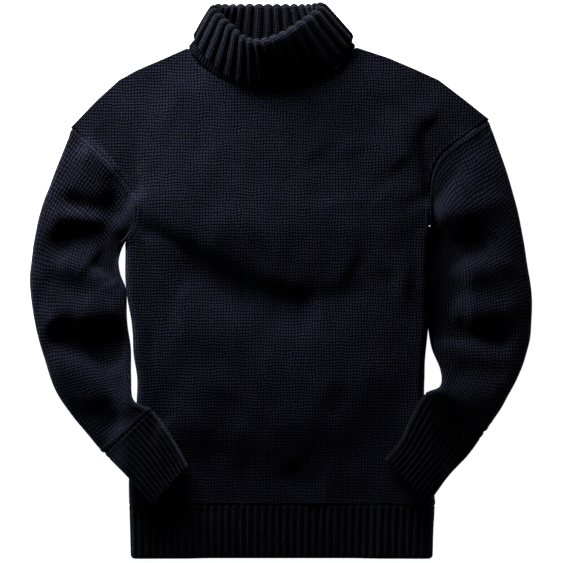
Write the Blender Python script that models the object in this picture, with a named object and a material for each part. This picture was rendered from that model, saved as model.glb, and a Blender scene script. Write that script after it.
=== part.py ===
"""Submariner sweater in heavy navy wool, laid flat on its back.

The sides of the body are tucked under, the sleeves are bent and both cuffs lie on the front of the welt.
+X is the right of the picture and the wearer's left, +Y runs from welt to collar, and +Z is up from the
surface that the sweater lies on. All lengths below are millimetres, and MM turns them into Blender's metres.

Each knitted piece is a wall between two matching grids of points, so that pieces that lie on each other
share their grid and differ only in depth below the garment's top.
"""

from collections import namedtuple

import bpy
import numpy as np

MM = 0.001

# Driving dimensions of the cloth
WALL = 4.2
LAYER_GAP = 0.5
SEAM_GAP = 0.4
STACK = 2 * WALL + LAYER_GAP
LOOSE_STACK = STACK + 2.9
LYING_GAP = 1.2

# Driving dimensions of the garment as it lies. A pair is where a smooth change starts and ends
THINNEST = STACK + 0.3
SHOULDER_EDGE_HEIGHT = STACK + 0.5
SHOULDER_SLOPE_WIDTH = 60.0
NECK_LINE_Y = 328.0
TUCKED_FLOOR = 2 * STACK + 0.6
SIDE_BLEND = (10.0, 90.0)
TUCK_SLOPE = (8.0, 78.0)
CALM_SIDE = (11.0, 32.0)
UNDERARM_BLEND = (50.0, 95.0)
FLOOR_SOFTNESS = 1.0
WELT_TOP, WELT_BOTTOM = -314.0, -388.0
WELT_RIBS = 40
COLLAR_RIBS = 32
CUFF_RIBS = 10
RIB_DEPTH = 1.6
EDGE_INSETS = (0.0, 1.7, 5.7)
SLEEVE_CROWN = 8.0
CUFF_CROWN_SHARE = 0.25
CUFF_BLEND = (-20.0, 10.0)
EDGE_CALM_SHARE = 0.125
SETTLE_LENGTH = 55.0
SEAM_SPREAD = 0.12
RAMP_WIDTH = 45.0
FOLD_END_FADE = 0.22

# The body by height up the picture: side edges, heights of its top face and width tucked under
BodyRow = namedtuple("BodyRow", "y left_x right_x middle side tuck")
BODY_ROWS = (
    BodyRow(-389, -211.0, 213.0, 13.5, 19.2, 62),
    BodyRow(-350, -212.0, 214.0, 16.0, 19.8, 62),
    BodyRow(-314, -213.0, 215.6, 17.0, 20.4, 60),
    BodyRow(-279, -214.0, 212.5, 17.5, 21.0, 58),
    BodyRow(-230, -209.5, 208.0, 18.5, 21.0, 55),
    BodyRow(-170, -203.0, 202.0, 20.0, 21.0, 52),
    BodyRow(-138, -202.0, 201.6, 21.5, 21.0, 50),
    BodyRow(-97, -207.0, 203.5, 21.5, 21.0, 46),
    BodyRow(-55, -210.0, 206.8, 21.0, 21.0, 42),
    BodyRow(-27, -215.2, 206.0, 21.5, 21.0, 38),
    BodyRow(0, -218.3, 206.5, 22.5, 21.0, 34),
    BodyRow(43, -219.6, 207.0, 24.0, 21.0, 28),
    BodyRow(76, -220.4, 207.4, 25.0, 20.5, 20),
    BodyRow(110, -220.4, 207.4, 23.5, 18.5, 20),
    BodyRow(170, -220.4, 207.4, 19.0, 14.0, 20),
    BodyRow(230, -220.4, 207.4, 15.0, 9.8, 20),
    BodyRow(280, -220.4, 207.4, 12.5, 9.6, 20),
    BodyRow(330, -220.4, 207.4, 10.0, 9.4, 20),
)
BODY_Y = np.array([row.y for row in BODY_ROWS], float)

# Armhole seams from the underarm to the shoulder tip, and the top edge from tip to tip
LEFT_SEAM = (
    (-223.2, 53.2), (-211.4, 68.6), (-202.4, 92.4), (-204.4, 113.4), (-219.8, 138.6),
    (-238.0, 161.0), (-264.6, 187.6), (-294.0, 215.6),
)
RIGHT_SEAM = (
    (208.8, 76.0), (209.2, 100.0), (210.0, 127.4), (214.0, 155.4), (225.0, 176.4),
    (242.0, 191.8), (264.6, 207.0), (291.0, 226.8),
)
NECK_LEFT, NECK_RIGHT = -131.6, 106.0
TOP_EDGE = (
    (-294.0, 215.6), (-257.6, 253.4), (-226.8, 281.4), (-201.6, 295.4), (-162.4, 312.2),
    (NECK_LEFT, 326.0), (-114.8, 301.0), (-88.2, 285.6), (-60.0, 273.0), (-28.0, 264.4),
    (6.0, 264.4), (47.6, 278.6), (79.8, 301.0), (NECK_RIGHT, 327.0), (151.2, 312.2),
    (190.4, 295.4), (221.2, 281.4), (257.6, 253.4), (291.0, 226.8),
)
BACK_NECK = ((NECK_LEFT, 326.0), (-80.0, 314.0), (-12.0, 309.0), (56.0, 314.0), (NECK_RIGHT, 327.0))

# Grid of the body: rows up to the underarm, rows along the armhole, columns from side to side
LOWER_ROWS = 15
UNDERARM_STEP_LEFT = 0.085
ARMHOLE_STEPS = (0.03, 0.1, 0.2, 0.3, 0.4, 0.5, 0.6, 0.7, 0.8, 0.9, 0.97, 1.0)
SHOULDER_COLUMNS, NECK_COLUMNS = 5, 12
BEND_STEPS = 4
BACK_NECK_ROWS = 2
WELT_ROWS = 3

# The largest folds. Height is at the middle of the route, and left and right widths lie either side of it
Fold = namedtuple("Fold", "route height left_width right_width")
FOLDS = (
    Fold(((-196, 88), (-144, 44), (-102, 18), (-57, -10), (-26, -21), (27, -31), (83, -27),
          (139, -6), (186, 32)), -10.0, 15, 30),
    Fold(((-190, -95), (-90, -105), (20, -112), (120, -105), (190, -90)), 3.0, 45, 55),
    Fold(((-262, 214), (-235, 192), (-221, 169), (-214, 143), (-203, 112)), -6.5, 13, 13),
    Fold(((252, 246), (232, 224), (214, 206), (206, 182), (211, 158), (216, 127), (210, 90)), -7.0, 14, 14),
    Fold(((228, 216), (230, 180), (226, 138)), -5.0, 17, 17),
    Fold(((-306, 114), (-264, 104), (-222, 104)), -4.5, 10, 10),
    Fold(((-330, 44), (-298, 62), (-225, 74)), -7.0, 11, 13),
    Fold(((-322, 30), (-270, 14), (-224, -6)), 4.0, 12, 12),
    Fold(((-262, 34), (-240, 14), (-228, -2)), -6.0, 12, 12),
    Fold(((-326, -56), (-275, -90), (-218, -120)), -9.0, 15, 17),
    Fold(((-244, -186), (-205, -206), (-168, -214)), -4.0, 10, 10),
    Fold(((300, 60), (255, 40), (206, 10)), -8.0, 13, 14),
    Fold(((232, -70), (280, -82), (328, -95)), -5.5, 10, 10),
    Fold(((230, 12), (226, -40), (228, -90)), -4.0, 15, 15),
    Fold(((288, -208), (245, -190), (204, -160)), -4.0, 10, 10),
)
ROUTE_STEPS = 24

# Sleeves: outer and inner edge of each section from armhole to cuff end. The last four rows are the cuff.
# A sleeve climbs onto the body between the two stations that its climb names
SleeveRow = namedtuple("SleeveRow", "outer inner")
SLEEVE_LEFT_OF_PICTURE = (
    SleeveRow((-294.0, 215.6), (-223.2, 53.2)),
    SleeveRow((-320.6, 141.4), (-225.4, 26.6)),
    SleeveRow((-341.6, 85.4), (-224.6, 8.4)),
    SleeveRow((-352.6, 8.4), (-217.2, -15.4)),
    SleeveRow((-348.6, -43.4), (-217.4, -47.6)),
    SleeveRow((-331.8, -110.6), (-211.6, -89.6)),
    SleeveRow((-312.2, -162.4), (-209.4, -135.8)),
    SleeveRow((-277.2, -208.6), (-203.0, -168.0)),
    SleeveRow((-249.2, -242.2), (-180.6, -179.2)),
    SleeveRow((-218.4, -270.2), (-158.2, -207.2)),
    SleeveRow((-197.4, -292.6), (-141.4, -235.2)),
    SleeveRow((-179.2, -313.6), (-128.8, -259.0)),
)
SLEEVE_RIGHT_OF_PICTURE = (
    SleeveRow((291.0, 226.8), (208.8, 76.0)),
    SleeveRow((310.8, 169.4), (203.8, 43.4)),
    SleeveRow((329.0, 113.4), (206.1, 12.6)),
    SleeveRow((344.6, 38.0), (206.4, -26.0)),
    SleeveRow((352.4, -34.0), (207.8, -66.0)),
    SleeveRow((350.0, -82.6), (212.0, -93.8)),
    SleeveRow((336.0, -128.8), (224.0, -124.6)),
    SleeveRow((313.6, -172.2), (222.6, -147.0)),
    SleeveRow((287.0, -212.8), (200.2, -156.8)),
    SleeveRow((261.8, -247.8), (180.6, -189.0)),
    SleeveRow((231.0, -278.6), (165.2, -222.6)),
    SleeveRow((207.2, -309.4), (144.2, -247.8)),
)
CLIMB_LEFT_OF_PICTURE, CLIMB_RIGHT_OF_PICTURE = (5.0, 6.8), (6.0, 7.6)
SleevePath = namedtuple("SleevePath", "inner outer lengths seam climb side")
SEAM_PROBE = 0.01
CUFF_FIRST_ROW = 8
SLEEVE_RINGS = 20
CUFF_RINGS = 4
CUFF_RIB_SPAN = (0.09, 0.91)
UNDERSIDE_SHARES = (0.1, 0.2, 0.3, 0.4, 0.5, 0.65, 0.8)

# Collar stations round the neck: seam point, top of the roll, free edge, radius of the roll and the
# direction, in degrees from the outward horizontal, in which the turned-down layer lies off the stand
CollarRow = namedtuple("CollarRow", "seam ridge free_edge roll lean")
COLLAR_ROWS = (
    CollarRow((-14.0, 265.6, 11.2), (-34.0, 333.5, 33.0), (-18.0, 275.0, 19.0), 3.7, 90),
    CollarRow((-86.0, 288.2, 10.4), (-66.0, 358.0, 30.5), (-93.0, 302.0, 17.4), 3.6, 62),
    CollarRow((-127.6, 329.5, 7.6), (-93.5, 381.0, 22.0), (-123.4, 340.0, 12.0), 3.4, 0),
    CollarRow((-80.0, 317.6, 3.4), (-66.0, 385.0, 6.2), (-84.0, 334.0, 2.6), 2.6, -80),
    CollarRow((-12.0, 310.6, 3.2), (-12.6, 385.6, 5.0), (-12.0, 332.0, 2.6), 2.6, -90),
    CollarRow((56.0, 317.6, 3.4), (36.0, 385.4, 6.2), (62.0, 334.0, 2.6), 2.6, -80),
    CollarRow((102.4, 330.6, 7.6), (62.6, 382.5, 22.0), (102.6, 341.0, 12.0), 3.4, 0),
    CollarRow((56.4, 287.0, 10.4), (26.0, 357.0, 30.5), (70.0, 304.0, 17.4), 3.6, 62),
)
STAND_STEPS, ROLL_STEPS, TURNOVER_STEPS = 3, 4, 3
NECK_MIDDLE_X = -12.0
PLAIN_BELOW_HEIGHT, PLAIN_BELOW_SLOPE = 3.2, -0.5

NAVY = (0.011, 0.013, 0.026, 1.0)
NAVY_RIB = (0.009, 0.011, 0.022, 1.0)
KNIT_ROUGHNESS = 0.92
SHARP_DEGREES = 50


def ease(value, start, end):
    """A smooth step from 0 at start to 1 at end."""
    t = np.clip((value - start) / (end - start), 0.0, 1.0)
    return t * t * (3 - 2 * t)


def mix(first, second, share):
    return first + (second - first) * share


def smooth_table(knots, values, at):
    """A smooth curve through a table's rows, held at its end rows."""
    knots = np.asarray(knots, float)
    values = np.asarray(values, float)
    at = np.clip(np.asarray(at, float), knots[0], knots[-1])
    slopes = np.gradient(values, knots, axis=0)
    i = np.clip(np.searchsorted(knots, at, side="right") - 1, 0, len(knots) - 2)
    step = knots[i + 1] - knots[i]
    t = (at - knots[i]) / step
    if values.ndim > 1:
        step, t = step[..., None], t[..., None]
    rise = t * t * (3 - 2 * t)
    bend = t * (1 - t) ** 2 * slopes[i] + t * t * (t - 1) * slopes[i + 1]
    return mix(values[i], values[i + 1], rise) + step * bend


def chord_lengths(points):
    steps = np.linalg.norm(np.diff(np.asarray(points, float), axis=0), axis=1)
    return np.concatenate([[0.0], np.cumsum(steps)])


def route_at(points, share):
    """Points on the smooth route through a list of points, by share of its length."""
    lengths = chord_lengths(points)
    return smooth_table(lengths, points, np.asarray(share) * lengths[-1])


def body_value(column, y):
    return smooth_table(BODY_Y, [getattr(row, column) for row in BODY_ROWS], y)


def top_edge_y(x):
    xs, ys = np.array(TOP_EDGE).T
    return np.interp(x, xs, ys)


def fold_height(fold, x, y):
    """How far one fold lifts the cloth at points of the plan. A trough has a negative height."""
    route = route_at(fold.route, np.linspace(0, 1, ROUTE_STEPS + 1))
    start, run = route[:-1], np.diff(route, axis=0)
    dx = x[..., None] - start[:, 0]
    dy = y[..., None] - start[:, 1]
    along = np.clip((dx * run[:, 0] + dy * run[:, 1]) / (run**2).sum(axis=1), 0, 1)
    off_x = dx - along * run[:, 0]
    off_y = dy - along * run[:, 1]
    distance = np.hypot(off_x, off_y)
    nearest = distance.argmin(axis=-1)[..., None]
    is_left = np.take_along_axis(run[:, 0] * off_y - run[:, 1] * off_x, nearest, -1)[..., 0] > 0
    share = (nearest[..., 0] + np.take_along_axis(along, nearest, -1)[..., 0]) / ROUTE_STEPS
    width = np.where(is_left, fold.left_width, fold.right_width)
    fade = ease(share, 0, FOLD_END_FADE) * ease(1 - share, 0, FOLD_END_FADE)
    distance = np.take_along_axis(distance, nearest, -1)[..., 0]
    return fold.height * fade * np.exp(-0.5 * (distance / width) ** 2)


def folds_height(x, y):
    return sum(fold_height(fold, x, y) for fold in FOLDS)


def soft_floor(height, floor):
    """The height, kept smoothly above a floor."""
    return floor + FLOOR_SOFTNESS * np.logaddexp(0.0, (height - floor) / FLOOR_SOFTNESS)


def body_top(x, y):
    """Height of the body's top face over a point of the plan."""
    inside = np.minimum(x - body_value("left_x", y), body_value("right_x", y) - x)
    height = mix(body_value("side", y), body_value("middle", y), ease(inside, *SIDE_BLEND))
    below_underarm = 1 - ease(y, *UNDERARM_BLEND)
    over_tuck = below_underarm * (1 - ease(inside - body_value("tuck", y), *TUCK_SLOPE))
    at_bend = below_underarm * (1 - ease(inside, *CALM_SIDE))
    floor = mix(THINNEST, TUCKED_FLOOR, over_tuck)
    height = soft_floor(height + (1 - at_bend) * folds_height(x, y), floor)
    height = mix(height, body_value("side", y), at_bend)
    over_neck = (x > NECK_LEFT) & (x < NECK_RIGHT)
    shoulder = np.where(over_neck, NECK_LINE_Y, top_edge_y(x))
    return mix(SHOULDER_EDGE_HEIGHT, height, ease(shoulder - y, 0, SHOULDER_SLOPE_WIDTH))


def body_columns():
    """Column places from -1 at one side to 1 at the other, with a column on each neck point."""
    left_tip, right_tip = TOP_EDGE[0][0], TOP_EDGE[-1][0]
    middle, half = (left_tip + right_tip) / 2, (right_tip - left_tip) / 2
    neck_left = (NECK_LEFT - middle) / half
    neck_right = (NECK_RIGHT - middle) / half
    return np.concatenate([
        np.linspace(-1, neck_left, SHOULDER_COLUMNS + 1)[:-1],
        np.linspace(neck_left, neck_right, NECK_COLUMNS + 1),
        np.linspace(neck_right, 1, SHOULDER_COLUMNS + 1)[1:],
    ])


def wrapped_section(y_left, y_right, places, depth):
    """One crosswise section at a depth below the outer face: tuck, bend, top, bend, tuck."""
    ys = np.array([y_left, y_right])
    left_x, right_x = body_value("left_x", ys)[0], body_value("right_x", ys)[1]
    left_bend, right_bend = body_value("side", ys) / 2
    top_left, top_right = left_x + left_bend, right_x - right_bend
    share = (places + 1) / 2
    x = mix(top_left, top_right, share)
    y = mix(y_left, y_right, share)
    depth = np.broadcast_to(depth, x.shape)
    edge_depth = depth[0]
    top = np.column_stack([x, y, body_top(x, y) - depth])
    angles = np.linspace(0, np.pi, BEND_STEPS + 1)[1:]

    def side(edge_x, edge_y, bend, tuck, outward):
        around = np.column_stack([
            edge_x + outward * (bend - edge_depth) * np.sin(angles),
            np.full(BEND_STEPS, edge_y),
            bend + (bend - edge_depth) * np.cos(angles),
        ])
        return np.vstack([around, [edge_x - outward * (tuck - bend), edge_y, edge_depth]])

    left = side(top_left, y_left, left_bend, body_value("tuck", ys)[0], -1)
    right = side(top_right, y_right, right_bend, body_value("tuck", ys)[1], 1)
    return np.vstack([left[::-1], top, right])


def armhole_section(step, share_of_rise, places, depth):
    """One crosswise section between the armhole seams, bowed upwards to the shoulders and the neck."""
    left, right = route_at(LEFT_SEAM, max(step, UNDERARM_STEP_LEFT)), route_at(RIGHT_SEAM, step)
    share = (places + 1) / 2
    x = mix(left[0], right[0], share)
    tip_left, tip_right = TOP_EDGE[0], TOP_EDGE[-1]
    edge_rise = top_edge_y(mix(tip_left[0], tip_right[0], share)) - mix(tip_left[1], tip_right[1], share)
    y = mix(left[1], right[1], share) + share_of_rise * edge_rise
    top = np.column_stack([x, y, body_top(x, y) - depth])
    ends = np.repeat(top[[0, -1]], BEND_STEPS + 1, axis=0)
    return np.vstack([ends[: BEND_STEPS + 1], top, ends[BEND_STEPS + 1 :]])


def body_grid(depth, with_back_neck):
    """All sections of a body panel from welt to top edge, and which of their cells are cloth."""
    places = body_columns()
    y_left = np.linspace(WELT_TOP + SEAM_GAP / 2, LEFT_SEAM[0][1], LOWER_ROWS + 1)
    y_right = np.linspace(WELT_TOP + SEAM_GAP / 2, RIGHT_SEAM[0][1], LOWER_ROWS + 1)
    rows = [wrapped_section(a, b, places, depth) for a, b in zip(y_left, y_right)]
    rows += [armhole_section(step, step**1.5, places, depth) for step in ARMHOLE_STEPS]
    wrapped = BEND_STEPS + 1
    cells = np.ones((len(rows) - 1, len(rows[0]) - 1), bool)
    cells[LOWER_ROWS:, :wrapped] = False
    cells[LOWER_ROWS:, -wrapped:] = False
    if with_back_neck:
        neck = slice(wrapped + SHOULDER_COLUMNS, wrapped + SHOULDER_COLUMNS + NECK_COLUMNS + 1)
        for step in np.linspace(0, 1, BACK_NECK_ROWS + 1)[1:]:
            row = rows[len(ARMHOLE_STEPS) + LOWER_ROWS].copy()
            x, y = row[neck, 0], row[neck, 1]
            xs, ys = np.array(BACK_NECK).T
            y = mix(y, smooth_table(xs, ys, x), step)
            row[neck] = np.column_stack([x, y, body_top(x, y) - depth])
            rows.append(row)
        more = np.zeros((BACK_NECK_ROWS, cells.shape[1]), bool)
        more[:, neck.start : neck.stop - 1] = True
        cells = np.vstack([cells, more])
    return np.array(rows), cells


def welt_grid(depth, places, relief):
    """Sections of a welt. The relief is how far each column of the outer face is cut in between ribs."""
    ys = np.linspace(WELT_TOP - SEAM_GAP / 2, WELT_BOTTOM, WELT_ROWS + 1)
    rows = np.array([wrapped_section(y, y, places, depth) for y in ys])
    rows[:, BEND_STEPS + 1 : BEND_STEPS + 1 + len(places), 2] -= relief
    return rows


def sleeve_path(rows, seam, climb):
    """A sleeve's table made ready: its two edges by distance down its middle, its armhole and its side."""
    inner = np.array([row.inner for row in rows])
    outer = np.array([row.outer for row in rows])
    lengths = chord_lengths((inner + outer) / 2)
    return SleevePath(inner, outer, lengths, seam, climb, np.sign(outer[0, 0]))


def sleeve_edges(path, distance):
    return smooth_table(path.lengths, path.inner, distance), smooth_table(path.lengths, path.outer, distance)


def sleeve_place(path, distance, share):
    """Plan position on a sleeve by distance from the armhole and share of the way to its outer edge."""
    inner, outer = sleeve_edges(path, distance)
    across = share[..., None]
    ahead = route_at(path.seam, share + SEAM_PROBE) - route_at(path.seam, share - SEAM_PROBE)
    ahead /= np.linalg.norm(ahead, axis=-1, keepdims=True)
    outward = path.side * np.stack([ahead[..., 1], -ahead[..., 0]], axis=-1)
    start = route_at(path.seam, share) + (SEAM_GAP + SEAM_SPREAD * distance[..., None]) * outward
    from_straight = start - mix(path.inner[0], path.outer[0], across)
    fade = 1 - ease(distance, 0, 2 * SETTLE_LENGTH)
    return mix(inner, outer, across) + from_straight * fade[..., None]


def sleeve_heights(path, distance, share, x, y):
    """(underside, top) of a sleeve over points of the plan, where it lies on the floor or on the body."""
    edge = np.where(path.side < 0, body_value("left_x", y), body_value("right_x", y))
    past_edge = path.side * (x - edge)
    inside_x = edge + path.side * np.minimum(past_edge, -body_value("side", y) / 2)
    lying = (body_top(inside_x, y) + LYING_GAP) * (1 - ease(past_edge, 0, RAMP_WIDTH))
    station = np.interp(distance, path.lengths, np.arange(len(path.lengths)))
    seam_x, seam_y = np.moveaxis(route_at(path.seam, share), -1, 0)
    settled = ease(distance, 0, SETTLE_LENGTH)
    rest = mix(body_top(seam_x, seam_y) - STACK, ease(station, *path.climb) * lying, settled)
    on_cuff = ease(distance - path.lengths[CUFF_FIRST_ROW], *CUFF_BLEND)
    roundness = np.sqrt(np.clip(4 * share * (1 - share), 0, 1))
    crown = SLEEVE_CROWN * settled * mix(1.0, CUFF_CROWN_SHARE, on_cuff) * roundness
    from_edge = np.clip(np.minimum(share, 1 - share) / EDGE_CALM_SHARE, 0, 1)
    lift = folds_height(x, y) * mix(1.0, from_edge, settled) * (1 - on_cuff)
    thickness = mix(STACK, LOOSE_STACK, settled)
    top = soft_floor(rest + thickness + crown + lift, rest + THINNEST)
    return np.maximum(rest, top - LOOSE_STACK), top


def tube_ring(path, distance, shares, relief):
    """One ring of a sleeve or cuff, top side from inner to outer edge and back under, with its inner face."""
    inner_end, outer_end = sleeve_edges(path, distance)
    across = outer_end - inner_end
    width = np.linalg.norm(across) if distance > 0 else chord_lengths(path.seam)[-1]
    insets = np.array(EDGE_INSETS) / width
    over = np.concatenate([insets, shares, 1 - insets[::-1]])
    under = np.concatenate([insets[1:], UNDERSIDE_SHARES, 1 - insets[:0:-1]])[::-1]
    share = np.concatenate([over, under])
    upward = np.where(np.arange(len(share)) < len(over), 1.0, -1.0)
    at = np.full(len(share), float(distance))
    plan = sleeve_place(path, at, share)
    low, high = sleeve_heights(path, at, share, plan[:, 0], plan[:, 1])
    half, middle = (high - low) / 2, (high + low) / 2
    cosine = np.clip(1 - np.minimum(share, 1 - share) * width / half, 0, 1)
    sine = np.sqrt(1 - cosine**2)
    cut_in = np.zeros(len(share))
    cut_in[len(insets) : len(insets) + len(shares)] = relief
    outside = np.column_stack([plan, middle + upward * half * sine - cut_in])
    inward = np.where(share < 0.5, 1.0, -1.0)[:, None] * across / np.linalg.norm(across)
    inside = np.column_stack([plan + WALL * cosine[:, None] * inward, middle + upward * (half - WALL) * sine])
    return outside, inside


def tube_grids(path, start, end, rings, shares, relief):
    made = [tube_ring(path, distance, shares, relief) for distance in np.linspace(start, end, rings + 1)]
    return np.array([ring[0] for ring in made]), np.array([ring[1] for ring in made])


def rib_places(count, first, last):
    """Column places with a groove at each end of a rib and its ridge between, and how deep each is cut."""
    places = np.linspace(first, last, 2 * count + 1)
    relief = np.where(np.arange(2 * count + 1) % 2 == 0, RIB_DEPTH, 0.0)
    return places, relief


def collar_profile(seam, ridge, free_edge, roll, lean, outward):
    """Middle line of the collar wall at one station, from the seam up the stand, over and down."""
    up = ridge - (seam + free_edge) / 2
    up /= np.linalg.norm(up)
    level = outward - up * (outward @ up)
    level /= np.linalg.norm(level)
    raised = np.array([0.0, 0.0, 1.0])
    raised -= up * up[2]
    raised /= np.linalg.norm(raised)
    off = np.cos(lean) * level + np.sin(lean) * raised
    centre = ridge - roll * up
    stand_top, turn_top = centre - roll * off, centre + roll * off
    angles = np.linspace(0, np.pi, ROLL_STEPS + 1)[1:-1, None]
    rolled = centre - roll * np.cos(angles) * off + roll * np.sin(angles) * up

    def swept(first, last, first_way, last_way, steps):
        t = np.linspace(0, 1, steps + 1)[:, None]
        reach = np.linalg.norm(last - first)
        bend = t * (1 - t) ** 2 * first_way + t * t * (t - 1) * last_way
        return mix(first, last, t * t * (3 - 2 * t)) + reach * bend

    stand = swept(seam, stand_top, (stand_top - seam) / np.linalg.norm(stand_top - seam), up, STAND_STEPS)
    turned_way = (free_edge - turn_top) / np.linalg.norm(free_edge - turn_top)
    turned = swept(turn_top, free_edge, -up, turned_way, TURNOVER_STEPS)
    return np.vstack([stand, rolled, turned])


def round_neck(column, at):
    """A column of the collar's table at distances round the neck, going round without a break."""
    seam_loop = [row.seam for row in COLLAR_ROWS]
    around = chord_lengths(seam_loop + seam_loop[:1])
    knots, period = around[:-1], around[-1]
    table = np.array([getattr(row, column) for row in COLLAR_ROWS], float)
    long_knots = np.concatenate([knots[-3:] - period, knots, knots[:3] + period])
    return smooth_table(long_knots, np.concatenate([table[-3:], table, table[:3]]), at * period)


def collar_grids():
    """(ribbed side, side inside the fold) of the collar wall, a column for each groove and each ridge."""
    columns = 2 * COLLAR_RIBS
    at = np.arange(columns) / columns
    seam, ridge, free_edge = (round_neck(column, at) for column in ("seam", "ridge", "free_edge"))
    roll, lean = round_neck("roll", at), np.radians(round_neck("lean", at))
    outward = np.zeros((columns, 3))
    outward[:, 0] = np.where(seam[:, 0] < NECK_MIDDLE_X, -1.0, 1.0)
    stations = zip(seam, ridge, free_edge, roll, lean, outward)
    lines = np.array([collar_profile(*station) for station in stations])
    lines[:, :, 2] = np.maximum(lines[:, :, 2], WALL / 2)
    around = np.roll(lines, -1, axis=0) - np.roll(lines, 1, axis=0)
    normal = np.cross(around, np.gradient(lines, axis=1))
    normal /= np.linalg.norm(normal, axis=2, keepdims=True)
    groove = np.where(np.arange(columns) % 2 == 0, RIB_DEPTH, 0.0)[:, None]
    on_floor = (lines[:, :, 2] < PLAIN_BELOW_HEIGHT) & (normal[:, :, 2] < PLAIN_BELOW_SLOPE)
    cut_in = np.where(on_floor, 0.0, groove)[..., None]
    face = lines + normal * (WALL / 2 - cut_in)
    face[:, :, 2] = np.maximum(face[:, :, 2], 0.0)
    hidden = lines - normal * WALL / 2
    return face.transpose(1, 0, 2), hidden.transpose(1, 0, 2)


def triangles_of_cells(cells, columns, closed):
    """Two triangles for each cell that is cloth, split along the same diagonal everywhere."""
    i, j = np.nonzero(cells)
    k = (j + 1) % columns if closed else j + 1
    a, b, c, d = i * columns + j, i * columns + k, (i + 1) * columns + k, (i + 1) * columns + j
    return np.concatenate([np.column_stack([a, b, c]), np.column_stack([a, c, d])])


def knit_wall(name, face, back, material, cells=None, closed=False):
    """A mesh object between two matching grids of points, with a rim along every free edge."""
    rows, columns = face.shape[:2]
    if cells is None:
        cells = np.ones((rows - 1, columns if closed else columns - 1), bool)
    front = triangles_of_cells(cells, columns, closed)
    edges = np.concatenate([front[:, [0, 1]], front[:, [1, 2]], front[:, [2, 0]]])
    known = {tuple(edge) for edge in edges.tolist()}
    free = np.array([edge for edge in edges.tolist() if (edge[1], edge[0]) not in known])
    count = rows * columns
    p, q = free[:, 0], free[:, 1]
    rim = np.concatenate([np.column_stack([q, p, p + count]), np.column_stack([q, p + count, q + count])])
    triangles = np.concatenate([front, front[:, ::-1] + count, rim])
    points = np.concatenate([face.reshape(-1, 3), back.reshape(-1, 3)])
    used, triangles = np.unique(triangles, return_inverse=True)
    points, triangles = points[used], triangles.reshape(-1, 3)
    if np.linalg.det(points[triangles] - points.mean(axis=0)).sum() < 0:
        triangles = triangles[:, ::-1]
    mesh = bpy.data.meshes.new(name)
    mesh.from_pydata((points * MM).tolist(), [], triangles.tolist())
    mesh.materials.append(material)
    mesh.shade_smooth()
    mesh.set_sharp_from_angle(angle=np.radians(SHARP_DEGREES))
    return bpy.data.objects.new(name, mesh)


def wool(name, colour):
    material = bpy.data.materials.new(name)
    material.use_nodes = True
    shader = material.node_tree.nodes["Principled BSDF"]
    shader.inputs["Base Color"].default_value = colour
    shader.inputs["Roughness"].default_value = KNIT_ROUGHNESS
    shader.inputs["Metallic"].default_value = 0.0
    return material


def body_panels(plain):
    front, cells = body_grid(0.0, False)
    front_inside, _ = body_grid(WALL, False)
    back, back_cells = body_grid(WALL + LAYER_GAP, True)
    back_inside, _ = body_grid(STACK, True)
    return [
        knit_wall("front_body", front, front_inside, plain, cells),
        knit_wall("back_body", back, back_inside, plain, back_cells),
    ]


def welts(ribbed):
    places, relief = rib_places(WELT_RIBS, -1, 1)
    plain_places = body_columns()
    return [
        knit_wall(
            "hem_front", welt_grid(0.0, places, relief), welt_grid(WALL, places, 0.0), ribbed
        ),
        knit_wall(
            "hem_back",
            welt_grid(WALL + 2 * LAYER_GAP, plain_places, 0.0),
            welt_grid(STACK + LAYER_GAP, plain_places, 0.0),
            ribbed,
        ),
    ]


def sleeve_and_cuff(side_name, path, plain, ribbed):
    cuff_start = path.lengths[CUFF_FIRST_ROW]
    sleeve_shares = np.array(ARMHOLE_STEPS[1:-2])
    sleeve = tube_grids(path, 0.0, cuff_start - SEAM_GAP, SLEEVE_RINGS, sleeve_shares, 0.0)
    cuff_shares, relief = rib_places(CUFF_RIBS, *CUFF_RIB_SPAN)
    cuff = tube_grids(path, cuff_start, path.lengths[-1], CUFF_RINGS, cuff_shares, relief)
    return [
        knit_wall("sleeve_" + side_name, *sleeve, plain, closed=True),
        knit_wall("cuff_" + side_name, *cuff, ribbed, closed=True),
    ]


def main():
    for old in list(bpy.data.objects):
        bpy.data.objects.remove(old, do_unlink=True)
    sweater = bpy.data.collections.new("submariner_sweater")
    bpy.context.scene.collection.children.link(sweater)
    plain, ribbed = wool("plain_knit", NAVY), wool("ribbed_knit", NAVY_RIB)
    pieces = body_panels(plain) + welts(ribbed)
    right_path = sleeve_path(SLEEVE_LEFT_OF_PICTURE, LEFT_SEAM, CLIMB_LEFT_OF_PICTURE)
    left_path = sleeve_path(SLEEVE_RIGHT_OF_PICTURE, RIGHT_SEAM, CLIMB_RIGHT_OF_PICTURE)
    pieces += sleeve_and_cuff("right", right_path, plain, ribbed)
    pieces += sleeve_and_cuff("left", left_path, plain, ribbed)
    pieces.append(knit_wall("collar", *collar_grids(), ribbed, closed=True))
    for piece in pieces:
        sweater.objects.link(piece)


main()
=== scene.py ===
"""Looks of the submariner sweater in heavy navy wool, laid flat on its back.

Every knitted piece is a fine closed wall on the form of its solid: the same edges, layers and folds, with
smaller creases, linked seams, rounded ribs and a knitted surface. Lengths are millimetres until MM turns them
into metres. +X is the right of the picture, +Y runs from welt to collar, and +Z is up from the surface that
the sweater lies on.
"""

from collections import namedtuple

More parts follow.
